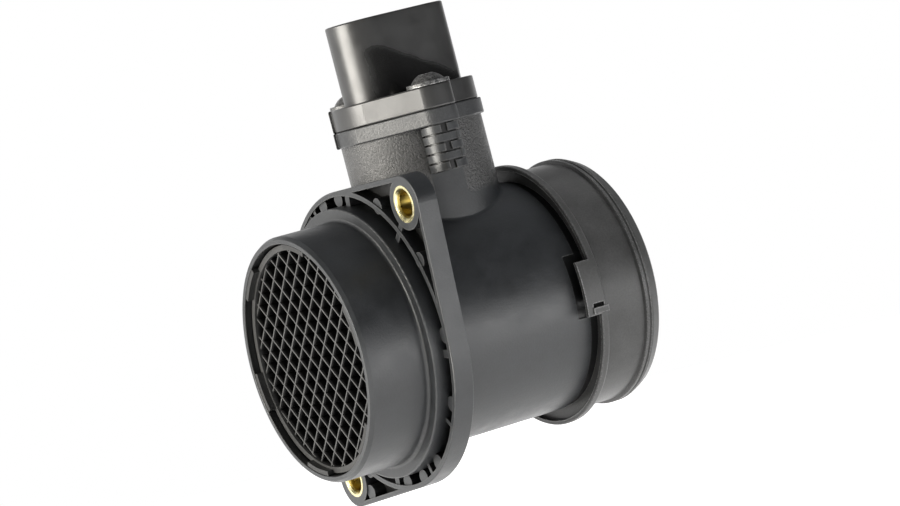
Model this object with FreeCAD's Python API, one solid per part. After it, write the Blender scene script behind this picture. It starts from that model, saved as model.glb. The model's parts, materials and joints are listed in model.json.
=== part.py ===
import FreeCAD, Part
import math
import os

# Mass airflow sensor, all sizes in millimetres.
# X is the flow axis, from the inlet at low X to the outlet at high X, and Z points along the chimney.
# The origin is on the flow axis, in the front face of the mounting flange.

V = FreeCAD.Vector
X_AXIS = V(1, 0, 0)
Y_AXIS = V(0, 1, 0)
Z_AXIS = V(0, 0, 1)

# FAR is the reach of a cut that runs clear of the part, LAP how far joined shapes run into each other
FAR = 200.0
LAP = 0.5

# Duct and spigot
spigot_r = 35.0
spigot_wall = 2.0
spigot_rim_x = -21.7
rim_slope = 0.7
rim_slope_l = 1.2
rim_round = 0.2
mouth_chamfer = 0.2
duct_step = 2.0
tube_wall = 2.55
fit_gap = 0.1

# Mounting flange
flange_t = 6.1
flange_wall = 1.4
flange_edge_round = 0.3
pocket_depth = 4.4
pocket_w = 4.3
root_ring_w = 3.6
root_ring_proud = 3.3
root_ring_round = 0.4
root_fillet = 0.9
ear_boss_wall = 2.05
# Angles in degrees from +Y towards +Z
upper_ear_angle = 137.2
upper_ear_out = 9.05
upper_ear_wall = 2.65
lower_ear_angle = -50.1
lower_ear_out = 7.3
lower_ear_wall = 3.0

# Ribs and round pads in the flange's pocket; each angle is repeated half a turn on
rib_t = 1.2
rib_drop = 0.3
rib_lap = 0.6
thin_rib_angles = (39.0, 69.5)
thick_rib_angles = (9.4, 99.5)
thick_rib_t = 2.2
ear_rib_angle = 137.7
ear_rib_t = 1.8
pad_drop = 0.5
pad_lap = 0.1
pad_inset = 0.15
pad_angles = (2.0, 30.0, 62.0, 77.5, 91.5)
ear_pad_angles = (121.5, 152.5)
ear_pad_inset = 0.3
lone_pad_dy = -7.8
lone_pad_dz = -4.3

# Compression sleeves in the ears
insert_bore_r = 3.55
insert_wall = 1.6
insert_chamfer = 0.9
insert_proud = 0.1

# Flow straightener
lattice_recess = 2.1
lattice_depth = 9.4
lattice_ring_gap = 0.5
lattice_ring_t = 1.6
lattice_pitch = 4.72
lattice_wall = 0.45
lattice_angle = 44.8
lattice_turn = 0.6
lattice_rise_offset = -1.03
lattice_fall_offset = 1.18
lattice_lip = 0.7
lattice_lap = 0.4
lattice_shortest = 8.0
snap_tab_count = 6
snap_tab_first = 47.0
snap_tab_span = 20.0
snap_tab_t = 1.3
snap_tab_l = 1.9

# Wire screen behind the lattice
screen_t = 0.8
screen_rim_w = 1.6
screen_pitch = 6.0
screen_wire_w = 0.5
screen_wire_t = 0.4

# Chimney on the tube
chimney_x = 29.0
chimney_bore_r = 17.5
chimney_wall = 2.8
chimney_h = 20.35
chimney_fillet = 1.0
plate_overhang = 1.0
plate_t = 4.5
plate_round = 0.4
front_screw_dx = -3.4
rear_screw_dx = -4.7
screw_out = 0.8
screw_ear_r = 6.1
lower_flat_l = 22.5
boss_r = 5.3
boss_core_r = 4.4
boss_tier_count = 5
boss_tier_h = 2.62
boss_tier_gap = 0.5
boss_slot_w = 1.7
boss_slot_sink = 0.4

# Tube end and the notch in its edge
shoulder_x = 51.2
neck_wall = 1.9
neck_l = 14.8
neck_chamfer = 0.5
notch_l = 3.85
notch_low_z = -8.3
notch_high_z = 9.6
seal_back = 8.8
seal_w = 2.4
seal_depth = 0.95
seal_side_gap = 0.15
seal_round = 0.3

# Collar over the tube end
collar_gap = 0.15
collar_wall = 1.95
collar_past_neck = 7.6
collar_end_gap = 0.2
collar_round = 0.5
lip_gap = 1.0
lip_w = 2.5
lip_rise = 3.0
lip_wall = 1.2
lip_web_t = 1.0
lip_round = 0.3
lip_back_round = 1.0
lip_fillet = 1.5
bead_back = 5.0
bead_w = 2.2
bead_rise = 1.0
bead_slope = 0.4
bead_round = 0.2
bead_groove_w = 0.44
bead_groove = 0.35
tab_gap = 0.65
tab_low_gap = 0.15
tab_high_gap = 2.2
slit_rise = 2.65
slit_h = 1.2
slit_back = 2.0
slit_l = 3.5
ledge_h = 1.7
ledge_proud = 0.5
ledge_lap = 0.2

# Plug-in sensor
sensor_plate_t = 6.5
sensor_plate_inset = 0.7
sensor_plate_round = 0.5
sensor_flat_l = 18.6
shroud_l = 35.7
shroud_w = 21.0
shroud_h = 22.6
shroud_wall = 1.7
shroud_round = 0.5
shroud_dx = 0.7
socket_floor_h = 2.0
sensor_neck_gap = 0.15
sensor_neck_drop = 6.9
ring_groove_rise = 5.2
ring_groove_h = 2.7
ring_groove_depth = 2.1
finger_w = 12.0
finger_wall = 1.6
cover_t = 1.4
partition_t = 1.6
measuring_h = 25.0

# Bypass channel in the finger
channel_rise = 5.0
channel_h = 6.5
channel_turn_x = 4.0
channel_turn_l = 7.0
channel_roof = 2.5
channel_back_x = -11.0
outlet_window_l = 6.5

# Electronics in the finger
base_plate_t = 1.2
base_plate_side_gap = 0.2
board_t = 0.8
board_h = 22.0
board_rise = 5.9
board_drop = 1.5
board_side_gap = 0.9
carrier_w = 7.0
carrier_t = 1.2
carrier_rise = 0.6
carrier_block_h = 4.2
carrier_slot_drop = 3.0
carrier_tip_drop = 5.3
film_w = 4.0
film_h = 3.2
film_t = 0.3
film_rise = 0.8
signal_chip_w = 9.0
signal_chip_h = 8.0
signal_chip_t = 1.4
signal_chip_gap = 2.3
capacitor_count = 4
capacitor_w = 2.0
capacitor_h = 1.3
capacitor_t = 1.0
capacitor_pitch = 4.2
capacitor_rise = 1.9

# Terminal pins
pin_count = 5
pin_pitch = 5.0
pin_w = 2.8
pin_t = 0.8
pin_side_gap = 0.3
pin_h = 15.75
pin_tip_l = 1.2
pin_tip_taper = 0.6
pin_shoulder_drop = 1.0
pin_foot_drop = 2.3
pin_foot_w = 1.6

# Intake temperature sensor on the finger's trailing face
bead_sensor_r = 1.2
bead_sensor_reach = 1.7
bead_sensor_rise = 2.0
bead_sensor_l = 3.0
lead_r = 0.3
lead_spread = 4.4
lead_seat = 1.0
lead_bend_r = 0.9

# Screws
screw_shank_r = 2.0
screw_hole_gap = 0.15
screw_washer_r = 6.1
screw_washer_t = 1.1
screw_washer_round = 0.3
screw_dome_r = 4.7
screw_dome_h = 2.6
screw_l = 18.0
screw_recess_r = 2.0
screw_recess_depth = 1.6
screw_post_r = 0.7
screw_post_h = 0.96

# Radii and places that follow from the sizes above
spigot_mouth_r = spigot_r - spigot_wall
duct_r = spigot_mouth_r - duct_step
tube_r = duct_r + tube_wall
neck_r = duct_r + neck_wall
root_ring_r = spigot_r + root_ring_w
flange_r = root_ring_r + pocket_w
insert_r = insert_bore_r + insert_wall
ear_boss_r = insert_r + ear_boss_wall
pad_r = pocket_w / 2 + pad_lap
pad_ring_r = root_ring_r + pocket_w / 2 - pad_inset
ear_pad_ring_r = flange_r - ear_pad_inset
pocket_floor_x = pocket_depth + flange_wall / 2

snap_tab_r = spigot_mouth_r - fit_gap
lattice_ring_r = spigot_mouth_r - lattice_ring_gap
lattice_x = spigot_rim_x + lattice_recess
lattice_end_x = lattice_x + lattice_depth
duct_step_x = lattice_end_x + screen_t

neck_end_x = shoulder_x + neck_l
notch_x = shoulder_x - notch_l
seal_groove_x = shoulder_x + seal_back
seal_groove_r = neck_r - seal_depth
collar_bore_r = neck_r + collar_gap
collar_r = collar_bore_r + collar_wall
collar_end_x = neck_end_x + collar_past_neck
lip_x = shoulder_x + lip_gap
lip_end_x = lip_x + lip_w
lip_r = collar_r + lip_rise
bead_x = collar_end_x - bead_back
bead_r = collar_r + bead_rise
tab_x = notch_x + tab_gap
tab_low_z = notch_low_z + tab_low_gap
tab_high_z = notch_high_z - tab_high_gap
slit_z = tab_low_z + slit_rise

chimney_r = chimney_bore_r + chimney_wall
plate_r = chimney_r + plate_overhang
plate_bottom_z = tube_r + chimney_h
plate_top_z = plate_bottom_z + plate_t
sensor_plate_r = plate_r - sensor_plate_inset
sensor_top_z = plate_top_z + sensor_plate_t
screw_dy = plate_r + screw_out
finger_top_z = plate_bottom_z - sensor_neck_drop
board_top_z = finger_top_z - board_drop
board_bottom_z = board_top_z - board_h
cavity_low_z = board_bottom_z - board_rise
partition_z = cavity_low_z - partition_t
finger_bottom_z = partition_z - measuring_h
channel_low_z = finger_bottom_z + channel_rise
channel_top_z = partition_z - channel_roof
ring_groove_z = finger_top_z + ring_groove_rise
ring_groove_r = chimney_bore_r - ring_groove_depth
finger_back_y = finger_w / 2
finger_front_y = -finger_w / 2
cover_y = finger_front_y + cover_t
cavity_back_y = finger_back_y - finger_wall
cavity_half_l = shroud_dx + (pin_count - 1) / 2 * pin_pitch + pin_w / 2 + pin_side_gap
finger_l = 2 * (cavity_half_l + finger_wall)
base_plate_y = cavity_back_y - base_plate_t
board_y = base_plate_y - board_t
carrier_block_z = cavity_low_z + carrier_rise
carrier_tip_z = channel_top_z - carrier_tip_drop
film_z = carrier_tip_z + film_rise
capacitor_z = board_bottom_z + capacitor_rise
signal_chip_z = capacitor_z + capacitor_h + signal_chip_gap
pin_centre_x = chimney_x + shroud_dx
pin_top_z = sensor_top_z + pin_h
pin_foot_z = board_top_z - pin_foot_drop
bead_sensor_z = partition_z + bead_sensor_rise


def cylinder_x(radius, x0, x1, y=0.0, z=0.0):
    return Part.makeCylinder(radius, x1 - x0, V(x0, y, z), X_AXIS)


def cylinder_z(radius, z0, z1, x=0.0, y=0.0):
    return Part.makeCylinder(radius, z1 - z0, V(x, y, z0), Z_AXIS)


def block(x0, x1, y0, y1, z0, z1):
    return Part.makeBox(x1 - x0, y1 - y0, z1 - z0, V(x0, y0, z0))


def polygon_face(points):
    return Part.Face(Part.makePolygon(points + [points[0]]))


def corner_ends(before, here, after, radius):
    """Start, middle and end of the arc that rounds a corner."""
    to_before = (before - here).normalize()
    to_after = (after - here).normalize()
    half = to_before.getAngle(to_after) / 2
    inward = (to_before + to_after).normalize()
    back = radius / math.tan(half)
    centre = here + inward * (radius / math.sin(half))
    return here + to_before * back, centre - inward * radius, here + to_after * back


def rounded_face(corners):
    """Face inside a closed outline of (point, radius) corners, each rounded by its radius."""
    ends = []
    edges = []
    for index, (here, radius) in enumerate(corners):
        if radius == 0:
            ends.append((here, here))
            continue
        before = corners[index - 1][0]
        after = corners[(index + 1) % len(corners)][0]
        start, middle, end = corner_ends(before, here, after, radius)
        edges.append(Part.Arc(start, middle, end).toShape())
        ends.append((start, end))
    for index, (start, end) in enumerate(ends):
        edges.append(Part.makeLine(ends[index - 1][1], start))
    return Part.Face(Part.Wire(Part.sortEdges(edges)[0]))


def turned(profile):
    """Solid of revolution about the flow axis from (x, r) or (x, r, rounding) corners."""
    corners = [(V(corner[0], 0, corner[1]), corner[2] if len(corner) > 2 else 0) for corner in profile]
    return rounded_face(corners).revolve(V(0, 0, 0), X_AXIS, 360)


def prism_x(points, x0, x1):
    """Prism along X from (y, z) points."""
    face = polygon_face([V(x0, y, z) for y, z in points])
    return face.extrude(V(x1 - x0, 0, 0))


def prism_z(points, z0, z1):
    """Prism along Z from (x, y) points."""
    face = polygon_face([V(x, y, z0) for x, y in points])
    return face.extrude(V(0, 0, z1 - z0))


def around(angle, radius):
    """(y, z) of a point at an angle from +Y towards +Z."""
    return radius * math.cos(math.radians(angle)), radius * math.sin(math.radians(angle))


def fuse_all(shapes):
    return shapes[0].multiFuse(shapes[1:]).removeSplitter()


def edges_in_plane(shape, axis, place):
    """Edges that lie in a plane across an axis: 0 for X, 2 for Z."""
    found = []
    for edge in shape.Edges:
        spots = [edge.valueAt(edge.FirstParameter), edge.valueAt(edge.LastParameter),
                 edge.valueAt((edge.FirstParameter + edge.LastParameter) / 2)]
        if all(abs(spot[axis] - place) < 1e-6 for spot in spots):
            found.append(edge)
    return found


def tangent_points(c1, r1, c2, r2, side):
    """Points where the outer tangent of two circles touches them; side is 1 for left, -1 for right."""
    dx = c2[0] - c1[0]
    dy = c2[1] - c1[1]
    turn = math.atan2(dy, dx) + side * math.acos((r1 - r2) / math.hypot(dx, dy))
    nx = math.cos(turn)
    ny = math.sin(turn)
    return (c1[0] + r1 * nx, c1[1] + r1 * ny), (c2[0] + r2 * nx, c2[1] + r2 * ny)


def ears():
    """(y, z, radius) of the two flange ears, the upper one first."""
    upper_y, upper_z = around(upper_ear_angle, flange_r + upper_ear_out)
    lower_y, lower_z = around(lower_ear_angle, flange_r + lower_ear_out)
    return (upper_y, upper_z, insert_r + upper_ear_wall), (lower_y, lower_z, insert_r + lower_ear_wall)


def flange_blank(x0, x1, inset):
    """The flange's outline, a disc with two blended ears, as a prism; inset moves its edge inwards."""
    disc_r = flange_r - inset
    shapes = [cylinder_x(disc_r, x0, x1)]
    for y, z, radius in ears():
        ear_r = radius - inset
        shapes.append(cylinder_x(ear_r, x0, x1, y, z))
        left = tangent_points((0, 0), disc_r, (y, z), ear_r, 1)
        right = tangent_points((0, 0), disc_r, (y, z), ear_r, -1)
        shapes.append(prism_x([(0, 0), left[0], left[1], (y, z), right[1], right[0]], x0, x1))
    return fuse_all(shapes)


def radial_rib(angle, r1, thickness):
    """Rib out from the root ring across the flange's pocket, from its floor to just under the front face."""
    rib = block(rib_drop, pocket_floor_x, root_ring_r - rib_lap, r1, -thickness / 2, thickness / 2)
    return rib.rotate(V(0, 0, 0), X_AXIS, angle)


def flange_pockets():
    """The space between the flange's walls, before its ribs and pads are added back."""
    x0 = -1.0
    x1 = pocket_depth
    ring = cylinder_x(flange_r - flange_wall, x0, x1).cut(cylinder_x(root_ring_r, x0, x1))
    webs = flange_blank(x0, x1, flange_wall).cut(cylinder_x(flange_r, x0, x1))
    space = ring.fuse(webs)
    for y, z, radius in ears():
        space = space.cut(cylinder_x(ear_boss_r, x0, x1, y, z))
    return space


def flange_details():
    """Ribs and round pads that stand in the flange's pocket."""
    details = []
    outer = flange_r - flange_wall / 2
    lower_y, lower_z, lower_r = ears()[1]
    ear_reach = flange_r + lower_ear_out - ear_boss_r / 2
    for half in (0.0, 180.0):
        for angle in pad_angles:
            y, z = around(angle + half, pad_ring_r)
            details.append(cylinder_x(pad_r, pad_drop, pocket_floor_x, y, z))
        for angle in ear_pad_angles:
            y, z = around(angle + half, ear_pad_ring_r)
            details.append(cylinder_x(pad_r, pad_drop, pocket_floor_x, y, z))
        for angle in thin_rib_angles:
            details.append(radial_rib(angle + half, outer, rib_t))
        for angle in thick_rib_angles:
            details.append(radial_rib(angle + half, outer, thick_rib_t))
        details.append(radial_rib(ear_rib_angle + half, ear_reach, ear_rib_t))
    details.append(cylinder_x(pad_r, pad_drop, pocket_floor_x, lower_y + lone_pad_dy, lower_z + lone_pad_dz))
    return details


def make_flange():
    blank = flange_blank(0.0, flange_t, 0.0)
    rims = edges_in_plane(blank, 0, 0.0) + edges_in_plane(blank, 0, flange_t)
    blank = blank.makeFillet(flange_edge_round, rims)
    return fuse_all([blank.cut(flange_pockets())] + flange_details())


def boss_axis(side):
    """(x, y) of a sensor screw; side is -1 for the front one and 1 for the rear one."""
    dx = rear_screw_dx if side > 0 else front_screw_dx
    return chimney_x + dx, side * screw_dy


def screw_boss(side):
    """Cored screw boss under an ear of the chimney's plate, in tiers with gaps between them."""
    x, y = boss_axis(side)
    bottom = plate_bottom_z - boss_tier_count * boss_tier_h
    inner = y + side * (boss_core_r - boss_slot_sink)
    outer = y + side * FAR
    boss = cylinder_z(boss_core_r, bottom, plate_bottom_z + LAP, x, y)
    for tier in range(boss_tier_count):
        z0 = bottom + tier * boss_tier_h
        disc = cylinder_z(boss_r, z0 + boss_tier_gap / 2, z0 + boss_tier_h - boss_tier_gap / 2, x, y)
        slot_x = x + boss_r / 2 if tier % 2 else x - boss_r / 4
        slot = block(slot_x - boss_slot_w / 2, slot_x + boss_slot_w / 2,
                     min(inner, outer), max(inner, outer), z0, z0 + boss_tier_h)
        boss = boss.fuse(disc.cut(slot))
    return boss


def plate_outline(radius, flat_l, z0, z1, rounding):
    """Disc over the chimney with two screw ears, each with one flat side that meets the disc."""
    shapes = [cylinder_z(radius, z0, z1, chimney_x, 0.0)]
    for side in (-1, 1):
        x, y = boss_axis(side)
        shapes.append(cylinder_z(screw_ear_r, z0, z1, x, y))
        on_disc, on_ear = tangent_points((chimney_x, 0.0), plate_r, (x, y), screw_ear_r, side)
        along_x = on_disc[0] - on_ear[0]
        along_y = on_disc[1] - on_ear[1]
        scale = flat_l / math.hypot(along_x, along_y)
        corner = (on_ear[0] + along_x * scale, on_ear[1] + along_y * scale)
        shapes.append(prism_z([(chimney_x, 0.0), corner, on_ear, (x, y)], z0, z1))
    plate = fuse_all(shapes)
    return plate.makeFillet(rounding, edges_in_plane(plate, 2, z0) + edges_in_plane(plate, 2, z1))


def tube_and_chimney():
    """The turned duct body with the chimney grown out of it, blended where they meet."""
    tube = turned([
        (spigot_rim_x, 0), (spigot_rim_x, spigot_r - rim_slope, rim_round),
        (spigot_rim_x + rim_slope_l, spigot_r, rim_round),
        (-root_ring_proud, spigot_r, root_fillet), (-root_ring_proud, root_ring_r, root_ring_round),
        (flange_t / 2, root_ring_r), (flange_t / 2, tube_r),
        (shoulder_x, tube_r), (shoulder_x, neck_r), (seal_groove_x, neck_r),
        (seal_groove_x, seal_groove_r), (seal_groove_x + seal_w, seal_groove_r),
        (seal_groove_x + seal_w, neck_r), (neck_end_x - neck_chamfer, neck_r),
        (neck_end_x, neck_r - neck_chamfer), (neck_end_x, 0)])
    body = fuse_all([tube, cylinder_z(chimney_r, 0.0, plate_bottom_z + LAP, chimney_x)])
    seam = []
    for edge in body.Edges:
        spot = edge.valueAt((edge.FirstParameter + edge.LastParameter) / 2)
        on_tube = abs(math.hypot(spot.y, spot.z) - tube_r) < 1e-3
        on_chimney = abs(math.hypot(spot.x - chimney_x, spot.y) - chimney_r) < 1e-3
        if on_tube and on_chimney:
            seam.append(edge)
    return body.makeFillet(chimney_fillet, seam)


def make_housing():
    plate = plate_outline(plate_r, lower_flat_l, plate_bottom_z, plate_top_z, plate_round)
    body = fuse_all([tube_and_chimney(), make_flange(), plate, screw_boss(-1), screw_boss(1)])

    notch_end_x = shoulder_x + LAP
    notch = cylinder_x(tube_r + LAP, notch_x, notch_end_x).cut(cylinder_x(neck_r, notch_x, notch_end_x))
    notch = notch.common(block(notch_x, notch_end_x, -FAR, 0.0, notch_low_z, notch_high_z))
    bore = turned([
        (spigot_rim_x - LAP, 0), (spigot_rim_x - LAP, spigot_mouth_r + mouth_chamfer),
        (spigot_rim_x, spigot_mouth_r + mouth_chamfer), (spigot_rim_x + mouth_chamfer, spigot_mouth_r),
        (duct_step_x, spigot_mouth_r), (duct_step_x, duct_r),
        (neck_end_x + LAP, duct_r), (neck_end_x + LAP, 0)])
    cuts = [notch, bore, cylinder_z(chimney_bore_r, 0.0, FAR, chimney_x)]
    for y, z, radius in ears():
        cuts.append(cylinder_x(insert_r, -LAP, flange_t + LAP, y, z))
    for side in (-1, 1):
        x, y = boss_axis(side)
        cuts.append(cylinder_z(screw_shank_r, sensor_top_z - screw_l, FAR, x, y))
    for cut in cuts:
        body = body.cut(cut)
    return body


def make_insert(y, z):
    front_x = -insert_proud
    back_x = flange_t + insert_proud
    sleeve = turned([
        (front_x, insert_bore_r + insert_chamfer), (front_x, insert_r), (back_x, insert_r),
        (back_x, insert_bore_r), (front_x + insert_chamfer, insert_bore_r)])
    return sleeve.translate(V(0, y, z))


def lattice_walls(slope, offset, length):
    """Parallel walls across the duct, their offset measured across them from the flow axis."""
    across = math.radians(90 + slope * lattice_angle + lattice_turn)
    ny = math.cos(across)
    nz = math.sin(across)
    count = int(spigot_mouth_r / lattice_pitch) + 1
    reach = lattice_ring_r - lattice_ring_t + lattice_lap
    walls = []
    for index in range(-count, count + 1):
        w = offset + index * lattice_pitch
        if abs(w) > math.sqrt(reach ** 2 - (lattice_shortest / 2) ** 2):
            continue
        half = math.sqrt(reach ** 2 - w * w)
        wall = block(lattice_x + lattice_lip, lattice_x + lattice_lip + length,
                     -half, half, w - lattice_wall / 2, w + lattice_wall / 2)
        walls.append(wall.rotate(V(0, 0, 0), X_AXIS, math.degrees(math.atan2(nz, ny)) - 90))
    return walls


def make_flow_straightener():
    ring = cylinder_x(lattice_ring_r, lattice_x, lattice_end_x)
    ring = ring.cut(cylinder_x(lattice_ring_r - lattice_ring_t, lattice_x - LAP, lattice_end_x + LAP))
    length = lattice_depth - lattice_lip
    walls = lattice_walls(1, lattice_rise_offset, length) + lattice_walls(-1, lattice_fall_offset, length)
    low = around(-snap_tab_span / 2, FAR)
    high = around(snap_tab_span / 2, FAR)
    wedge = prism_x([(0, 0), low, high], lattice_x - snap_tab_l, lattice_x)
    hoop = cylinder_x(snap_tab_r, lattice_x - snap_tab_l, lattice_x)
    hoop = hoop.cut(cylinder_x(snap_tab_r - snap_tab_t, lattice_x - FAR, lattice_x + LAP))
    tabs = []
    for index in range(snap_tab_count):
        tab = hoop.common(wedge)
        tabs.append(tab.rotate(V(0, 0, 0), X_AXIS, snap_tab_first + index * 360 / snap_tab_count))
    return fuse_all([ring] + walls + tabs)


def make_wire_screen():
    x0 = lattice_end_x
    x1 = lattice_end_x + screen_t
    rim = cylinder_x(lattice_ring_r, x0, x1)
    rim = rim.cut(cylinder_x(lattice_ring_r - screen_rim_w, x0 - LAP, x1 + LAP))
    wires = []
    count = int(duct_r / screen_pitch)
    for index in range(-count, count + 1):
        w = index * screen_pitch
        half = math.sqrt((lattice_ring_r - screen_rim_w / 2) ** 2 - w * w)
        wires.append(block(x0, x0 + screen_wire_t, -half, half, w - screen_wire_w / 2, w + screen_wire_w / 2))
        wires.append(block(x0, x0 + screen_wire_t, w - screen_wire_w / 2, w + screen_wire_w / 2, -half, half))
    return fuse_all([rim] + wires)


def make_outlet_collar():
    web_x = lip_end_x - lip_web_t
    groove_x = bead_x + (bead_w - bead_groove_w) / 2
    floor_x = neck_end_x + collar_end_gap
    outer = turned([
        (lip_x, collar_bore_r), (lip_x, lip_r, lip_round), (lip_end_x, lip_r, lip_back_round),
        (lip_end_x, collar_r, lip_fillet), (bead_x - bead_slope, collar_r), (bead_x, bead_r, bead_round),
        (groove_x - bead_round, bead_r), (groove_x, bead_r - bead_groove),
        (groove_x + bead_groove_w, bead_r - bead_groove), (groove_x + bead_groove_w + bead_round, bead_r),
        (bead_x + bead_w, bead_r, bead_round), (collar_end_x - collar_round, collar_r),
        (collar_end_x, collar_r - collar_round), (collar_end_x, duct_r + collar_round),
        (collar_end_x - collar_round, duct_r), (floor_x, duct_r), (floor_x, collar_bore_r)])
    lip_bore_r = lip_r - lip_wall
    hollow = cylinder_x(lip_bore_r, lip_x - LAP, web_x)
    hollow = hollow.cut(cylinder_x(collar_bore_r - LAP, lip_x - LAP, web_x))
    body = outer.cut(hollow)

    tab = cylinder_x(lip_r, tab_x, lip_x + LAP).cut(cylinder_x(lip_bore_r, tab_x - LAP, lip_x + FAR))
    tab = tab.common(block(tab_x, lip_x + LAP, -FAR, 0.0, tab_low_z, tab_high_z))
    slit_x = tab_x + slit_back
    ledge_top = slit_z - slit_h / 2
    ledge = cylinder_x(lip_r + ledge_proud, slit_x - ledge_lap, lip_end_x)
    ledge = ledge.cut(cylinder_x(lip_bore_r, tab_x - LAP, lip_end_x + LAP))
    ledge = ledge.common(block(tab_x, lip_end_x, -FAR, 0.0, ledge_top - ledge_h, ledge_top))
    body = fuse_all([body, tab, ledge])
    slit = block(slit_x, slit_x + slit_l, -lip_r - ledge_proud, -lip_bore_r + LAP,
                 slit_z - slit_h / 2, slit_z + slit_h / 2)
    return body.cut(slit)


def make_collar_seal():
    x0 = seal_groove_x + seal_side_gap
    x1 = seal_groove_x + seal_w - seal_side_gap
    return turned([
        (x0, seal_groove_r, seal_round), (x1, seal_groove_r, seal_round),
        (x1, collar_bore_r, seal_round), (x0, collar_bore_r, seal_round)])


def obround(length, width, z0, z1, x):
    half = (length - width) / 2
    ends = [cylinder_z(width / 2, z0, z1, x - half), cylinder_z(width / 2, z0, z1, x + half)]
    return fuse_all(ends + [block(x - half, x + half, -width / 2, width / 2, z0, z1)])


def bypass_channel():
    """U-shaped air path: in at the leading face, up behind, back over the film and out at both sides."""
    y0 = cover_y - LAP
    y1 = cavity_back_y
    turn_end = chimney_x + channel_turn_x + channel_turn_l
    low = block(chimney_x - finger_l, turn_end, y0, y1, channel_low_z, channel_low_z + channel_h)
    rise = block(chimney_x + channel_turn_x, turn_end, y0, y1, channel_low_z, channel_top_z)
    back_low = channel_top_z - channel_h
    back = block(chimney_x + channel_back_x, turn_end, y0, y1, back_low, channel_top_z)
    return fuse_all([low, rise, back])


def outlet_window():
    x0 = chimney_x + channel_back_x
    low = channel_top_z - channel_h
    return block(x0, x0 + outlet_window_l, -FAR, FAR, low, channel_top_z)


def make_sensor_body():
    plate = plate_outline(sensor_plate_r, sensor_flat_l, plate_top_z, sensor_top_z, sensor_plate_round)
    shroud_top = sensor_top_z + shroud_h
    shroud = obround(shroud_l, shroud_w, sensor_top_z - LAP, shroud_top, pin_centre_x)
    shroud = shroud.makeFillet(shroud_round, edges_in_plane(shroud, 2, shroud_top))
    neck = cylinder_z(chimney_bore_r - sensor_neck_gap, finger_top_z, plate_top_z + LAP, chimney_x)
    groove_top_z = ring_groove_z + ring_groove_h
    groove = cylinder_z(FAR, ring_groove_z, groove_top_z, chimney_x)
    groove = groove.cut(cylinder_z(ring_groove_r, ring_groove_z - LAP, groove_top_z + LAP, chimney_x))
    neck = neck.cut(groove)
    x0 = chimney_x - finger_l / 2
    x1 = chimney_x + finger_l / 2
    finger = block(x0, x1, cover_y, finger_back_y, finger_bottom_z, finger_top_z + LAP)
    body = fuse_all([plate, shroud, neck, finger])

    socket_floor_z = sensor_top_z + socket_floor_h
    socket = obround(shroud_l - 2 * shroud_wall, shroud_w - 2 * shroud_wall, socket_floor_z,
                     shroud_top + LAP, pin_centre_x)
    cavity = block(chimney_x - cavity_half_l, chimney_x + cavity_half_l, cover_y - LAP, cavity_back_y,
                   cavity_low_z, finger_top_z)
    slot = block(chimney_x - carrier_w / 2, chimney_x + carrier_w / 2, cover_y - LAP, carrier_t / 2,
                 partition_z - carrier_slot_drop, cavity_low_z + LAP)
    cuts = [socket, cavity, bypass_channel(), outlet_window(), slot]
    for index in range(pin_count):
        x = pin_x(index)
        cuts.append(block(x - pin_w / 2, x + pin_w / 2, -pin_t / 2, pin_t / 2,
                          finger_top_z - LAP, socket_floor_z + LAP))
    for side in (-1, 1):
        x, y = boss_axis(side)
        cuts.append(cylinder_z(screw_shank_r + screw_hole_gap, plate_top_z - LAP, sensor_top_z + LAP, x, y))
    for z in lead_heights():
        cuts.append(cylinder_x(lead_r, x1 - lead_seat, x1 + LAP, 0.0, z))
    for cut in cuts:
        body = body.cut(cut)
    return body


def make_sensor_o_ring():
    section_r = (chimney_bore_r - ring_groove_r) / 2
    return Part.makeTorus(ring_groove_r + section_r, section_r,
                          V(chimney_x, 0, ring_groove_z + ring_groove_h / 2), Z_AXIS)


def finger_cover(z0, z1):
    return block(chimney_x - finger_l / 2, chimney_x + finger_l / 2, finger_front_y, cover_y, z0, z1)


def make_electronics_cover():
    return finger_cover(partition_z + partition_t / 2, finger_top_z)


def make_bypass_cover():
    return finger_cover(finger_bottom_z, partition_z + partition_t / 2).cut(outlet_window())


def make_base_plate():
    half = cavity_half_l - base_plate_side_gap
    return block(chimney_x - half, chimney_x + half, base_plate_y, cavity_back_y,
                 cavity_low_z + base_plate_side_gap, finger_top_z - base_plate_side_gap)


def make_hybrid_board():
    half = cavity_half_l - board_side_gap
    return block(chimney_x - half, chimney_x + half, board_y, base_plate_y, board_bottom_z, board_top_z)


def make_chip_carrier():
    x0 = chimney_x - carrier_w / 2
    x1 = chimney_x + carrier_w / 2
    foot = block(x0, x1, -carrier_t / 2, base_plate_y, carrier_block_z, carrier_block_z + carrier_block_h)
    blade = block(x0, x1, -carrier_t / 2, carrier_t / 2, carrier_tip_z, carrier_block_z + LAP)
    return fuse_all([foot, blade])


def make_hot_film_chip():
    return block(chimney_x - film_w / 2, chimney_x + film_w / 2, -carrier_t / 2 - film_t, -carrier_t / 2,
                 film_z, film_z + film_h)


def make_signal_chip():
    half = signal_chip_w / 2
    return block(chimney_x - half, chimney_x + half, board_y - signal_chip_t, board_y,
                 signal_chip_z, signal_chip_z + signal_chip_h)


def make_chip_capacitors():
    parts = []
    for index in range(capacitor_count):
        x = chimney_x + (index - (capacitor_count - 1) / 2) * capacitor_pitch
        parts.append(block(x - capacitor_w / 2, x + capacitor_w / 2, board_y - capacitor_t, board_y,
                           capacitor_z, capacitor_z + capacitor_h))
    return Part.makeCompound(parts)


def pin_x(index):
    return pin_centre_x + (index - (pin_count - 1) / 2) * pin_pitch


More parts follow.
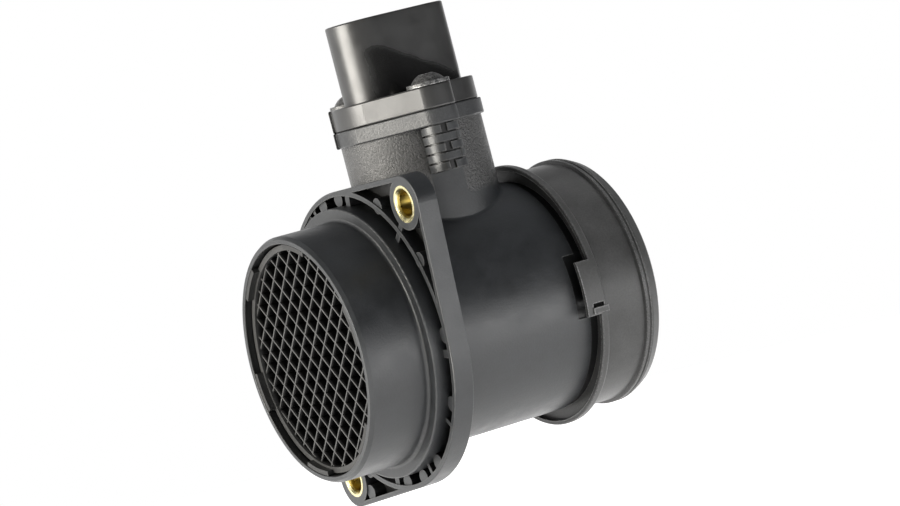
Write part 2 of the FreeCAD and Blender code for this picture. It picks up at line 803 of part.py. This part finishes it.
def make_terminal_pin(index):
    x = pin_x(index)
    half = pin_w / 2
    tip_z = pin_top_z - pin_tip_l
    shoulder_z = finger_top_z - pin_shoulder_drop
    front_y = -pin_t / 2
    blade = Part.Face(Part.makePolygon([
        V(x - half, front_y, shoulder_z), V(x + half, front_y, shoulder_z), V(x + half, front_y, tip_z),
        V(x + half - pin_tip_taper, front_y, pin_top_z), V(x - half + pin_tip_taper, front_y, pin_top_z),
        V(x - half, front_y, tip_z), V(x - half, front_y, shoulder_z)])).extrude(V(0, pin_t, 0))
    tail = block(x - pin_foot_w / 2, x + pin_foot_w / 2, front_y, -front_y, pin_foot_z, finger_top_z)
    foot = block(x - pin_foot_w / 2, x + pin_foot_w / 2, front_y, board_y, pin_foot_z, pin_foot_z + pin_t)
    return fuse_all([blade, tail, foot])


def lead_heights():
    return bead_sensor_z + lead_spread, bead_sensor_z - lead_spread


def make_thermistor():
    x = chimney_x + finger_l / 2 + bead_sensor_reach
    half = bead_sensor_l / 2 - bead_sensor_r
    return fuse_all([
        Part.makeSphere(bead_sensor_r, V(x, 0, bead_sensor_z - half)),
        Part.makeSphere(bead_sensor_r, V(x, 0, bead_sensor_z + half)),
        cylinder_z(bead_sensor_r, bead_sensor_z - half, bead_sensor_z + half, x)])


def make_thermistor_leads():
    face_x = chimney_x + finger_l / 2
    x = face_x + bead_sensor_reach
    leads = []
    for z, up in zip(lead_heights(), (1, -1)):
        corner = V(x - lead_bend_r, 0, z - up * lead_bend_r)
        run = cylinder_x(lead_r, face_x - lead_seat, x - lead_bend_r, 0.0, z)
        bend = Part.Face(Part.Wire(Part.makeCircle(lead_r, V(x - lead_bend_r, 0, z), X_AXIS)))
        bend = bend.revolve(corner, Y_AXIS, 90 * up)
        end_z = bead_sensor_z + up * bead_sensor_l / 2
        low = min(end_z, corner.z)
        high = max(end_z, corner.z)
        leads.append(fuse_all([run, bend, cylinder_z(lead_r, low, high, x)]))
    return Part.makeCompound(leads)


def make_screw(side):
    x, y = boss_axis(side)
    washer_top = sensor_top_z + screw_washer_t
    top = washer_top + screw_dome_h
    shank = cylinder_z(screw_shank_r, sensor_top_z - screw_l, washer_top, x, y)
    washer = cylinder_z(screw_washer_r, sensor_top_z, washer_top, x, y)
    washer = washer.makeFillet(screw_washer_round, edges_in_plane(washer, 2, washer_top))
    ball_r = (screw_dome_r ** 2 + screw_dome_h ** 2) / (2 * screw_dome_h)
    dome = Part.makeSphere(ball_r, V(x, y, top - ball_r))
    dome = dome.common(cylinder_z(screw_dome_r, washer_top, top, x, y))
    recess_z = top - screw_recess_depth
    head = fuse_all([shank, washer, dome]).cut(cylinder_z(screw_recess_r, recess_z, FAR, x, y))
    return fuse_all([head, cylinder_z(screw_post_r, recess_z, recess_z + screw_post_h, x, y)])


upper_ear, lower_ear = ears()
nodes = {
    "housing": make_housing(),
    "upper_flange_insert": make_insert(upper_ear[0], upper_ear[1]),
    "lower_flange_insert": make_insert(lower_ear[0], lower_ear[1]),
    "flow_straightener": make_flow_straightener(),
    "wire_screen": make_wire_screen(),
    "outlet_collar": make_outlet_collar(),
    "collar_seal_ring": make_collar_seal(),
    "sensor_body": make_sensor_body(),
    "sensor_o_ring": make_sensor_o_ring(),
    "electronics_cover": make_electronics_cover(),
    "bypass_cover": make_bypass_cover(),
    "base_plate": make_base_plate(),
    "hybrid_board": make_hybrid_board(),
    "chip_carrier": make_chip_carrier(),
    "hot_film_chip": make_hot_film_chip(),
    "signal_chip": make_signal_chip(),
    "chip_capacitors": make_chip_capacitors(),
    "intake_thermistor": make_thermistor(),
    "thermistor_leads": make_thermistor_leads(),
    "front_screw": make_screw(-1),
    "rear_screw": make_screw(1),
}
for number in range(pin_count):
    nodes["terminal_pin_" + str(number + 1)] = make_terminal_pin(number)

os.makedirs("parts", exist_ok=True)
for name, shape in nodes.items():
    print(name, len(shape.Solids), "solids", round(shape.Volume, 1), "mm3", "valid", shape.isValid())
    shape.exportStep("parts/" + name + ".step")
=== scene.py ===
import json
import math
import bpy
from mathutils import Matrix, Vector


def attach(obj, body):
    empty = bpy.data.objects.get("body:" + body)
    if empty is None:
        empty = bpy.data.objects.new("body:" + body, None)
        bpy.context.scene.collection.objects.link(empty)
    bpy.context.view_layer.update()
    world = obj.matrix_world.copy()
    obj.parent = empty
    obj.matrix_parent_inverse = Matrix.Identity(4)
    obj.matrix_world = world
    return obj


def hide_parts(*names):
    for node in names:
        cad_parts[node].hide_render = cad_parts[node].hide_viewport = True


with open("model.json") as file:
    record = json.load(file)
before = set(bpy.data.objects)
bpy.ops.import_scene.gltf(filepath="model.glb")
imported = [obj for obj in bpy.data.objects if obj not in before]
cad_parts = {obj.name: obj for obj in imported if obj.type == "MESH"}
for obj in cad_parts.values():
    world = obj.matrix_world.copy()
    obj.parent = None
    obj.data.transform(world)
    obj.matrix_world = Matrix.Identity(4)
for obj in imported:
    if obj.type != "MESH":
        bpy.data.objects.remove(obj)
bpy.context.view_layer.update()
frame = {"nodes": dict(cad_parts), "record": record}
nodes = frame["nodes"]

MM = 0.001

# The camera, solved from the photograph: angles in degrees, and where its lens sees the frame's origin,
# in metres to the right, up and ahead
CAMERA_AZIMUTH = -29.217
CAMERA_ELEVATION = 2.006
CAMERA_ROLL = -14.528
CAMERA_OFFSET = Vector((-0.02183, -0.024616, 1.009364))
SENSOR_WIDTH = 36.0
FRAME_WIDTH_PX = 900
FOCAL_PX = 3627.8

# Floor, in metres: it glows less below the object, from the first distance to the second
FLOOR_Z = -0.16
FLOOR_R = 1.6
FLOOR_SIDES = 64
FLOOR_FADE = (0.15, 0.6)
FLOOR_GLOW = (0.5, 1.0)

# Studio: what the lamps look at, the middle of the white sweep, how far round it the sweep rises
# (as a cosine), its top edge from the far side to the middle, and the level of the rest in reflections
STUDIO_CENTRE = Vector((0.026, 0.0, 0.02))
BACKDROP = (-0.174, 0.985, 0.0)
SWEEP_SPAN = (0.1, 0.8)
SWEEP_TOP = (-0.4, 0.5)
SWEEP_FADE = 0.25
DARK_LEVEL = 0.08

# Plain light from all round, stronger from below, by the height of its direction
FILL_HEIGHTS = (-0.5, 0.8)
FILL_LEVELS = (0.45, 0.22)

# Parts of the noise's range that are stretched over colour, roughness, speckles and the lighter edges, which
# are partly wear and partly painted highlight
COLOUR_SPAN = (0.3, 0.7)
ROUGHNESS_SPAN = (0.25, 0.75)
SPECKLE_SPAN = (0.35, 0.65)
WEAR_HIGHLIGHT_SPAN = (0.3, 0.6)

# Openness where the lighter edges (wear and painted highlight) start and where they are full, and openness
# where the painted corner shade is darkest
WEAR_HIGHLIGHT_OPENNESS = (0.9, 0.45)
CORNER_OPENNESS = 0.15

# Detail of the two noises, samples of the shader's own rays
BLOTCH_DETAIL = 4.0
GRAIN_DETAIL = 3.0
NOISE_ROUGHNESS = 0.6
OPENNESS_SAMPLES = 6
BEVEL_SAMPLES = 4

# Housing: heights where the chimney's grain begins and where it ends at the plate, and its share above that,
# the flange's back, the duct's wall, how deep the pockets are and how closed, and the painted shade in duct
# and pockets
CHIMNEY_FOOT = (33.0 * MM, 35.0 * MM)
CHIMNEY_TOP = (54.0 * MM, 53.8 * MM)
PLATE_SHARE = 0.2
FLANGE_BACK = (6.2 * MM, 6.6 * MM)
DUCT_WALL = (33.05 * MM, 33.2 * MM)
DUCT_SHADE = 0.2
POCKET_DEPTH = (0.4 * MM, 3.6 * MM)
POCKET_BACK = (6.3 * MM, 6.0 * MM)
POCKET_CLOSED = (0.93, 0.78)
POCKET_SHADE = 0.04

# Screw bosses of the housing: axes, reach, the gaps between their tiers, their foot and top, and the painted
# shade in the gaps
BOSS_AXES = ((25.6 * MM, -22.1 * MM), (24.3 * MM, 22.1 * MM))
BOSS_REACH = (5.4 * MM, 5.5 * MM)
BOSS_GAPS = (4.8 * MM, 5.0 * MM)
BOSS_FOOT = (41.0 * MM, 41.2 * MM)
BOSS_TOP = (53.95 * MM, 53.9 * MM)
BOSS_SHADE = 0.12

# Connector's shroud: a painted dark reflection, smoother too, starts at a distance along X and above the
# plate, and ends at a line that falls from the first height to the second over the span
SHROUD_SPAN = (20.0 * MM, 42.0 * MM)
SHROUD_HEIGHTS = (79.0 * MM, 67.0 * MM)
SHROUD_SOFT = 1.2 * MM
SHROUD_START = (15.2 * MM, 18.2 * MM)
SHROUD_FOOT = (64.9 * MM, 65.1 * MM)
SHROUD_SMOOTH = 0.35
SHROUD_REFLECTION_DARK = 0.5

# Front rims of the sleeves
SLEEVE_RIM = (0.4 * MM, 0.3 * MM)

# Lattice: distances behind its front edge where painted shade darkens it, where its ring and its snap tabs
# darken, and the ring
LATTICE_DEPTH = (-18.85 * MM, -18.0 * MM)
LATTICE_SHADE = 0.01
LATTICE_R = (31.0 * MM, 30.8 * MM)
TAB_DEPTH = (-19.75 * MM, -19.6 * MM)
TAB_SHADE_LEVELS = (0.45, 0.7)
RING_DEPTH = (-19.5 * MM, -18.5 * MM)
RING_SHADE = 0.1


def make_node(tree, kind, inputs=None, **settings):
    """A shader node with its settings and its inputs, each a value or another node's output."""
    made = tree.nodes.new(kind)
    for name, value in settings.items():
        setattr(made, name, value)
    for name, value in (inputs or {}).items():
        set_input(tree, made.inputs[name], value)
    return made


def set_input(tree, socket, value):
    if isinstance(value, bpy.types.NodeSocket):
        tree.links.new(value, socket)
    else:
        socket.default_value = value


def math_node(tree, operation, first, second, clamp=False):
    made = make_node(tree, "ShaderNodeMath", {0: first, 1: second}, operation=operation, use_clamp=clamp)
    return made.outputs[0]


def product(tree, first, *others):
    for other in others:
        first = math_node(tree, "MULTIPLY", first, other)
    return first


def map_range(tree, value, low, high, to_low=0.0, to_high=1.0):
    """Stretches low to high over to_low to to_high, and stays at those beyond."""
    made = make_node(tree, "ShaderNodeMapRange", {
        "Value": value, "From Min": low, "From Max": high, "To Min": to_low, "To Max": to_high})
    return made.outputs["Result"]


def blend(tree, factor, low, high):
    """Between two values: low where the factor is 0, high where it is 1."""
    return map_range(tree, factor, 0.0, 1.0, low, high)


def coordinates(tree, place):
    split = make_node(tree, "ShaderNodeSeparateXYZ", {0: place})
    return split.outputs["X"], split.outputs["Y"], split.outputs["Z"]


def distance_from(tree, first, second, centre=(0.0, 0.0)):
    """How far two of the coordinates are from a centre in their plane."""
    flat = make_node(tree, "ShaderNodeCombineXYZ", {"X": first, "Y": second})
    away = make_node(tree, "ShaderNodeVectorMath", {0: flat.outputs[0], 1: (*centre, 0.0)},
                     operation="DISTANCE")
    return away.outputs["Value"]


def noise(tree, place, size, detail):
    """Noise whose blobs are about size metres across."""
    made = make_node(tree, "ShaderNodeTexNoise", {
        "Vector": place, "Scale": 1.0 / size, "Detail": detail, "Roughness": NOISE_ROUGHNESS})
    return made.outputs["Fac"]


def mix_colour(tree, factor, first, second):
    made = make_node(tree, "ShaderNodeMix", data_type="RGBA")
    used = {socket.name: socket for socket in made.inputs if socket.enabled}
    for name, value in (("Factor", factor), ("A", first), ("B", second)):
        set_input(tree, used[name], value)
    return [socket for socket in made.outputs if socket.enabled][0]


def scaled(tree, colour, factor):
    """A colour times a factor that varies over the surface."""
    made = make_node(tree, "ShaderNodeVectorMath", {0: colour, "Scale": factor}, operation="SCALE")
    return made.outputs["Vector"]


def openness(tree, distance, inside=False):
    """1 in the open, lower where faces stand closer than the distance, or near an outer edge if inside."""
    made = make_node(tree, "ShaderNodeAmbientOcclusion", {"Distance": distance},
                     samples=OPENNESS_SAMPLES, inside=inside)
    return made.outputs["AO"]


def new_material(name):
    material = bpy.data.materials.new(name)
    material.use_nodes = True
    tree = material.node_tree
    tree.nodes.clear()
    shader = tree.nodes.new("ShaderNodeBsdfPrincipled")
    output = tree.nodes.new("ShaderNodeOutputMaterial")
    tree.links.new(shader.outputs["BSDF"], output.inputs["Surface"])
    return material, tree, shader


def grey(value, tint=(1.0, 1.0, 1.0)):
    return (value * tint[0], value * tint[1], value * tint[2], 1.0)


def black(value):
    """Black plastic with a cool tint."""
    return grey(value, (0.93, 1.0, 1.1))


def surface(name, colour, second_colour, roughness, grain=0.3 * MM, grain_depth=0.01 * MM, blotch=6 * MM,
            roughness_spread=0.06, edge=0.2 * MM, wear_highlight_w=0.45 * MM, wear_highlight_colour=None, metallic=0.0,
            specular=0.5, cavity_w=8 * MM, cavity_open=0.6, cavity_shade=0.06, painted_shade=None, speckle=0.0,
            zone=None, zone_colour=None, zone_roughness=0.0, rest_grain=1.0, polish=None):
    """Moulded or metal surface: mottled colour, fine grain, soft edges lightened partly by wear and partly as
    a painted highlight, and painted shade in cavities.

    Blotches mix the two colours, and edges are rounded to the radius edge and lightened over
    wear_highlight_w, partly as wear and partly as a painted highlight. Where faces stand closer than cavity_w
    the colour is darkened as painted shade, from the openness cavity_open on, down to cavity_shade. The
    function painted_shade gives a further factor of the colour, more painted shade, and polish one of the
    roughness.
    The function zone marks where zone_colour, the full grain and spots of other roughness apply, with
    rest_grain as the share of the grain elsewhere.
    """
    material, tree, shader = new_material(name)
    place = make_node(tree, "ShaderNodeTexCoord").outputs["Object"]
    blotches = noise(tree, place, blotch, BLOTCH_DETAIL)
    fine = noise(tree, place, grain, GRAIN_DETAIL)
    base = mix_colour(tree, map_range(tree, blotches, *COLOUR_SPAN), colour, second_colour)
    rough = map_range(tree, blotches, *ROUGHNESS_SPAN, roughness - roughness_spread,
                      roughness + roughness_spread)
    strength = 1.0
    if zone is not None:
        marked = zone(tree, place)
        base = mix_colour(tree, marked, base, zone_colour)
        spread = map_range(tree, fine, *COLOUR_SPAN, -zone_roughness, zone_roughness)
        rough = math_node(tree, "ADD", rough, product(tree, marked, spread))
        strength = blend(tree, marked, rest_grain, 1.0)
    if wear_highlight_colour is not None:
        # Lighter convex edges: partly rubbed wear, partly a painted highlight where edges catch light.
        wear_and_highlight = map_range(tree, openness(tree, wear_highlight_w, inside=True), *WEAR_HIGHLIGHT_OPENNESS)
        patchy = map_range(tree, fine, *WEAR_HIGHLIGHT_SPAN)
        base = mix_colour(tree, math_node(tree, "MULTIPLY", wear_and_highlight, patchy, clamp=True), base, wear_highlight_colour)
    if speckle:
        spots = map_range(tree, fine, *SPECKLE_SPAN, -speckle, speckle)
        base = scaled(tree, base, math_node(tree, "ADD", product(tree, spots, strength), 1.0))
    # Painted shade: the colour darkens where faces stand close, in corners, creases and recesses.
    seen = openness(tree, cavity_w)
    dark = map_range(tree, seen, CORNER_OPENNESS, cavity_open, cavity_shade, 1.0)
    # Further painted shade, from a function of the place, multiplies in.
    if painted_shade is not None:
        dark = product(tree, dark, painted_shade(tree, place, seen))
    if polish is not None:
        rough = product(tree, rough, polish(tree, place))
    tree.links.new(scaled(tree, base, dark), shader.inputs["Base Color"])
    tree.links.new(rough, shader.inputs["Roughness"])
    bevel = make_node(tree, "ShaderNodeBevel", {"Radius": edge}, samples=BEVEL_SAMPLES).outputs["Normal"]
    bump = make_node(tree, "ShaderNodeBump", {
        "Height": fine, "Distance": grain_depth, "Strength": strength, "Normal": bevel})
    tree.links.new(bump.outputs["Normal"], shader.inputs["Normal"])
    shader.inputs["Metallic"].default_value = metallic
    shader.inputs["Specular IOR Level"].default_value = specular
    return material


def chimney_zone(tree, place):
    """1 on the chimney, above the tube and behind the flange, but not on its screw bosses."""
    x, y, z = coordinates(tree, place)
    above = map_range(tree, z, *CHIMNEY_FOOT)
    below = map_range(tree, z, *CHIMNEY_TOP, PLATE_SHARE, 1.0)
    behind = map_range(tree, x, *FLANGE_BACK)
    clear = [map_range(tree, distance_from(tree, x, y, axis), *BOSS_REACH) for axis in BOSS_AXES]
    return product(tree, above, below, behind, *clear)


def housing_painted_shade(tree, place, seen):
    """Painted shade: darker inside the duct, between the tiers of the bosses and in the flange's pockets."""
    x, y, z = coordinates(tree, place)
    duct = map_range(tree, distance_from(tree, y, z), *DUCT_WALL, DUCT_SHADE, 1.0)
    sunk = map_range(tree, x, *POCKET_DEPTH, 1.0, POCKET_SHADE)
    closed = map_range(tree, seen, *POCKET_CLOSED)
    front = map_range(tree, x, *POCKET_BACK)
    pocket = blend(tree, product(tree, closed, front), 1.0, sunk)
    tiers = product(tree, map_range(tree, z, *BOSS_FOOT), map_range(tree, z, *BOSS_TOP))
    gaps = [map_range(tree, distance_from(tree, x, y, axis), *BOSS_GAPS, BOSS_SHADE, 1.0)
            for axis in BOSS_AXES]
    return product(tree, duct, pocket, *(blend(tree, tiers, 1.0, gap) for gap in gaps))


def shroud_dark_reflection(tree, place):
    """1 low on the connector's shroud, where a dark reflection is painted."""
    x, _, z = coordinates(tree, place)
    top = map_range(tree, x, *SHROUD_SPAN, *SHROUD_HEIGHTS)
    low = map_range(tree, math_node(tree, "SUBTRACT", z, top), SHROUD_SOFT, -SHROUD_SOFT)
    right = map_range(tree, x, *SHROUD_START)
    above = map_range(tree, z, *SHROUD_FOOT)
    return product(tree, low, right, above)


def shroud_polish(tree, place):
    return blend(tree, shroud_dark_reflection(tree, place), 1.0, SHROUD_SMOOTH)


# Painted reflection: darkens the colour low on the shroud, as a dark reflection of the surroundings.
def shroud_painted_reflection(tree, place, seen):
    return blend(tree, shroud_dark_reflection(tree, place), 1.0, SHROUD_REFLECTION_DARK)


def sleeve_rim(tree, place):
    """1 on the sleeves' front rims."""
    return map_range(tree, coordinates(tree, place)[0], *SLEEVE_RIM)


def lattice_painted_shade(tree, place, seen):
    """Painted shade: black below the front edges of the lattice's walls, less so on its ring and snap tabs.
    """
    x, y, z = coordinates(tree, place)
    sunk = map_range(tree, x, *LATTICE_DEPTH, 1.0, LATTICE_SHADE)
    inner = map_range(tree, distance_from(tree, y, z), *LATTICE_R)
    tab = map_range(tree, x, *TAB_DEPTH, *TAB_SHADE_LEVELS)
    ring = product(tree, tab, map_range(tree, x, *RING_DEPTH, 1.0, RING_SHADE))
    return blend(tree, inner, ring, sunk)


# In the finishes below, lighter edge colours are partly wear and partly painted highlight, and the cavity
# settings and shade functions paint shade into the colour.
finishes = {
    "housing_plastic": surface(
        "moulded_housing", black(0.021), black(0.030), 0.4, grain=0.6 * MM, grain_depth=0.3 * MM,
        roughness_spread=0.08, wear_highlight_colour=grey(0.10), specular=0.6, cavity_w=10 * MM, painted_shade=housing_painted_shade,
        speckle=0.35, zone=chimney_zone, zone_colour=grey(0.050), zone_roughness=0.22, rest_grain=0.15),
    "collar_plastic": surface(
        "moulded_collar", grey(0.050), grey(0.072), 0.38, grain=0.5 * MM, grain_depth=0.04 * MM,
        blotch=9 * MM, wear_highlight_colour=grey(0.42), specular=0.35, speckle=0.1, cavity_shade=0.03),
    "lattice_plastic": surface(
        "moulded_lattice", grey(0.055), grey(0.072), 0.5, grain_depth=0.004 * MM, edge=0.06 * MM,
        cavity_w=3 * MM, cavity_shade=0.4, painted_shade=lattice_painted_shade, specular=0.35),
    "sensor_plastic": surface(
        "moulded_sensor", grey(0.024), grey(0.032), 0.34, grain=0.35 * MM, grain_depth=0.012 * MM,
        wear_highlight_colour=grey(0.09), specular=0.65, cavity_w=15 * MM, cavity_open=0.85,
        polish=shroud_polish, painted_shade=shroud_painted_reflection),
    "cover_plastic": surface("moulded_covers", black(0.03), black(0.04), 0.4, wear_highlight_colour=grey(0.08)),
    "sleeve_metal": surface(
        "yellow_sleeves", (0.32, 0.22, 0.045, 1), (0.46, 0.35, 0.09, 1), 0.3, grain=0.2 * MM,
        grain_depth=0.006 * MM, blotch=1.5 * MM, metallic=1.0, cavity_w=7 * MM, cavity_open=0.75,
        cavity_shade=0.12, wear_highlight_colour=(0.93, 0.85, 0.5, 1), wear_highlight_w=0.5 * MM,
        zone=sleeve_rim, zone_colour=(0.9, 0.82, 0.48, 1), zone_roughness=0.3),
    "screw_steel": surface(
        "black_screws", grey(0.04), grey(0.19), 0.40, grain=0.45 * MM, grain_depth=0.10 * MM,
        blotch=0.9 * MM, roughness_spread=0.12, wear_highlight_colour=grey(0.45), metallic=0.6, cavity_w=3 * MM,
        speckle=0.4),
    "screen_steel": surface("screen_wire", grey(0.05), grey(0.09), 0.4, metallic=1.0, edge=0.05 * MM),
    "seal_rubber": surface("seal_rubber_black", grey(0.015), grey(0.024), 0.6),
    "base_aluminium": surface("bare_aluminium", grey(0.7), grey(0.78), 0.35, metallic=1.0),
    "board_ceramic": surface("white_ceramic", grey(0.7), grey(0.76), 0.5),
    "chip_black": surface("chip_epoxy", grey(0.025), grey(0.035), 0.5),
    "film_silicon": surface(
        "film_silicon_blue", (0.16, 0.18, 0.3, 1), (0.2, 0.22, 0.36, 1), 0.12, metallic=0.6),
    "thermistor_glass": surface("glazed_bead", (0.3, 0.12, 0.05, 1), (0.36, 0.17, 0.08, 1), 0.12),
    "pin_metal": surface(
        "tin_pins", grey(0.62), grey(0.72), 0.25, grain=0.2 * MM, grain_depth=0.003 * MM, metallic=1.0),
}

slots = {row["node"]: row["material_slot"] for row in frame["record"]["subparts"]}
for name, obj in nodes.items():
    obj.data.materials.clear()
    obj.data.materials.append(finishes[slots[name]])


# Woven wire screen behind the lattice, its rim as in the CAD model
SCREEN_X0 = -10.2 * MM
SCREEN_X1 = -9.4 * MM
SCREEN_RIM_R = 32.5 * MM
SCREEN_OPEN_R = 30.9 * MM
SCREEN_PITCH = 1.4 * MM
WIRE_R = 0.2 * MM
WIRE_LAP = 0.4 * MM
WIRE_STEPS = 4
RIM_SIDES = 128
RIM_BEVEL = 0.15 * MM


def screen_rim(verts, faces):
    """The rim's ring, its section a rectangle with cut corners."""
    b = RIM_BEVEL
    section = [(SCREEN_X0 + b, SCREEN_OPEN_R), (SCREEN_X0, SCREEN_OPEN_R + b),
               (SCREEN_X0, SCREEN_RIM_R - b), (SCREEN_X0 + b, SCREEN_RIM_R),
               (SCREEN_X1 - b, SCREEN_RIM_R), (SCREEN_X1, SCREEN_RIM_R - b),
               (SCREEN_X1, SCREEN_OPEN_R + b), (SCREEN_X1 - b, SCREEN_OPEN_R)]
    count = len(section)
    for i in range(RIM_SIDES):
        a = 2 * math.pi * i / RIM_SIDES
        verts.extend((x, r * math.cos(a), r * math.sin(a)) for x, r in section)
    for i in range(RIM_SIDES):
        here = i * count
        after = (i + 1) % RIM_SIDES * count
        for k in range(count):
            step = (k + 1) % count
            faces.append((here + k, here + step, after + step, after + k))


def screen_wire(verts, faces, across, sign, turned):
    """One wire that weaves over and under those that cross it; turned puts it along Z in place of Y."""
    half = math.sqrt((SCREEN_OPEN_R + WIRE_LAP) ** 2 - across ** 2)
    steps = max(2, round(2 * half / SCREEN_PITCH * WIRE_STEPS))
    start = len(verts)
    middle = (SCREEN_X0 + SCREEN_X1) / 2
    for i in range(steps + 1):
        t = -half + 2 * half * i / steps
        x = middle + sign * WIRE_R * math.cos(math.pi * t / SCREEN_PITCH)
        for dx, dw in ((-WIRE_R, 0), (0, WIRE_R), (WIRE_R, 0), (0, -WIRE_R)):
            w = across + dw
            verts.append((x + dx, w, t) if turned else (x + dx, t, w))
    for i in range(steps):
        for k in range(4):
            a = start + 4 * i
            quad = (a + k, a + (k + 1) % 4, a + 4 + (k + 1) % 4, a + 4 + k)
            faces.append(quad if turned else quad[::-1])
    last = start + 4 * steps
    for cap in ((start, start + 3, start + 2, start + 1), (last, last + 1, last + 2, last + 3)):
        faces.append(cap if turned else cap[::-1])


def make_screen():
    verts = []
    faces = []
    screen_rim(verts, faces)
    count = int(SCREEN_OPEN_R / SCREEN_PITCH)
    for index in range(-count, count + 1):
        sign = -1 if index % 2 else 1
        screen_wire(verts, faces, index * SCREEN_PITCH, sign, False)
        screen_wire(verts, faces, index * SCREEN_PITCH, -sign, True)
    mesh = bpy.data.meshes.new("woven_screen")
    mesh.from_pydata(verts, [], faces)
    mesh.update()
    piece = bpy.data.objects.new("woven_screen", mesh)
    bpy.context.scene.collection.objects.link(piece)
    mesh.materials.append(finishes["screen_steel"])
    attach(piece, "root")
    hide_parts("wire_screen")


def make_camera():
    azimuth, elevation, roll = (math.radians(a) for a in (CAMERA_AZIMUTH, CAMERA_ELEVATION, CAMERA_ROLL))
    back = Vector((math.sin(azimuth) * math.cos(elevation), -math.cos(azimuth) * math.cos(elevation),
                   math.sin(elevation)))
    level = (-back).cross(Vector((0, 0, 1))).normalized()
    upright = level.cross(-back)
    right = level * math.cos(roll) + upright * math.sin(roll)
    up = upright * math.cos(roll) - level * math.sin(roll)
    turn = Matrix((right, up, back)).transposed()
    place = -(right * CAMERA_OFFSET.x + up * CAMERA_OFFSET.y - back * CAMERA_OFFSET.z)
    data = bpy.data.cameras.new("camera")
    data.sensor_fit = "HORIZONTAL"
    data.sensor_width = SENSOR_WIDTH
    data.lens = FOCAL_PX * SENSOR_WIDTH / FRAME_WIDTH_PX
    camera = bpy.data.objects.new("camera", data)
    camera.matrix_world = Matrix.Translation(place) @ turn.to_4x4()
    bpy.context.scene.collection.objects.link(camera)
    bpy.context.scene.camera = camera


def seen_rays(tree, path):
    """1 for rays that show the background itself or its reflection."""
    shown = math_node(tree, "MAXIMUM", path["Is Camera Ray"], path["Is Glossy Ray"])
    return math_node(tree, "MAXIMUM", shown, path["Is Transmission Ray"])


def make_world():
    """White to the camera, a white sweep behind the object in reflections, a plain grey fill otherwise."""
    world = bpy.data.worlds.new("studio")
    bpy.context.scene.world = world
    world.use_nodes = True
    tree = world.node_tree
    tree.nodes.clear()
    path = make_node(tree, "ShaderNodeLightPath").outputs
    direction = make_node(tree, "ShaderNodeTexCoord").outputs["Generated"]
    height = coordinates(tree, direction)[2]
    behind = make_node(tree, "ShaderNodeVectorMath", {0: direction, 1: BACKDROP}, operation="DOT_PRODUCT")
    sweep = map_range(tree, behind.outputs["Value"], *SWEEP_SPAN)
    above = math_node(tree, "SUBTRACT", height, blend(tree, sweep, *SWEEP_TOP))
    reflected = map_range(tree, above, 0.0, SWEEP_FADE, 1.0, DARK_LEVEL)
    level = math_node(tree, "MAXIMUM", path["Is Camera Ray"], reflected)
    white = make_node(tree, "ShaderNodeBackground", {"Color": grey(1.0), "Strength": level})
    around = map_range(tree, height, *FILL_HEIGHTS, *FILL_LEVELS)
    fill = make_node(tree, "ShaderNodeBackground", {"Color": grey(1.0), "Strength": around})
    mixed = make_node(tree, "ShaderNodeMixShader", {
        0: seen_rays(tree, path), 1: fill.outputs[0], 2: white.outputs[0]})
    output = tree.nodes.new("ShaderNodeOutputWorld")
    tree.links.new(mixed.outputs[0], output.inputs["Surface"])


def make_floor():
    """A pale disc that keeps the object's shadow and is white where rays see it."""
    mesh = bpy.data.meshes.new("floor")
    angles = [2 * math.pi * i / FLOOR_SIDES for i in range(FLOOR_SIDES)]
    ring = [(FLOOR_R * math.cos(a), FLOOR_R * math.sin(a), FLOOR_Z) for a in angles]
    mesh.from_pydata(ring, [], [list(range(FLOOR_SIDES))])
    floor = bpy.data.objects.new("floor", mesh)
    bpy.context.scene.collection.objects.link(floor)
    material, tree, shader = new_material("pale_floor")
    shown = seen_rays(tree, make_node(tree, "ShaderNodeLightPath").outputs)
    place = make_node(tree, "ShaderNodeTexCoord").outputs["Object"]
    away = make_node(tree, "ShaderNodeVectorMath", {0: place}, operation="LENGTH").outputs["Value"]
    glow = product(tree, map_range(tree, away, *FLOOR_FADE, *FLOOR_GLOW), shown)
    shader.inputs["Base Color"].default_value = grey(0.8)
    shader.inputs["Roughness"].default_value = 0.9
    shader.inputs["Specular IOR Level"].default_value = 0.1
    shader.inputs["Emission Color"].default_value = grey(1.0)
    tree.links.new(glow, shader.inputs["Emission Strength"])
    mesh.materials.append(material)


def area_light(name, azimuth, elevation, distance, width, height, radiance, colour=(1, 1, 1),
               in_reflections=True):
    """A soft box that looks at the object: azimuth from +X towards +Y, in degrees."""
    a = math.radians(azimuth)
    e = math.radians(elevation)
    direction = Vector((math.cos(a) * math.cos(e), math.sin(a) * math.cos(e), math.sin(e)))
    data = bpy.data.lights.new(name, "AREA")
    data.shape = "RECTANGLE"
    data.size = width
    data.size_y = height
    data.color = colour
    data.energy = radiance * math.pi * width * height
    lamp = bpy.data.objects.new(name, data)
    lamp.location = STUDIO_CENTRE + direction * distance
    lamp.rotation_euler = direction.to_track_quat("Z", "Y").to_euler()
    lamp.visible_glossy = in_reflections
    lamp.visible_camera = False
    bpy.context.scene.collection.objects.link(lamp)


make_screen()
make_camera()
make_world()
make_floor()
area_light("key", azimuth=-187, elevation=9, distance=1.1, width=0.7, height=0.5, radiance=19.0,
           colour=(1.0, 0.965, 0.89))
area_light("fill", azimuth=-62, elevation=-13, distance=0.42, width=0.45, height=0.14, radiance=2.8)
area_light("low", azimuth=-112, elevation=-12, distance=0.42, width=0.4, height=0.12, radiance=1.15)
area_light("top", azimuth=15, elevation=62, distance=1.0, width=0.6, height=0.6, radiance=8.5,
           in_reflections=False)

bpy.context.scene.view_settings.view_transform = "Standard"
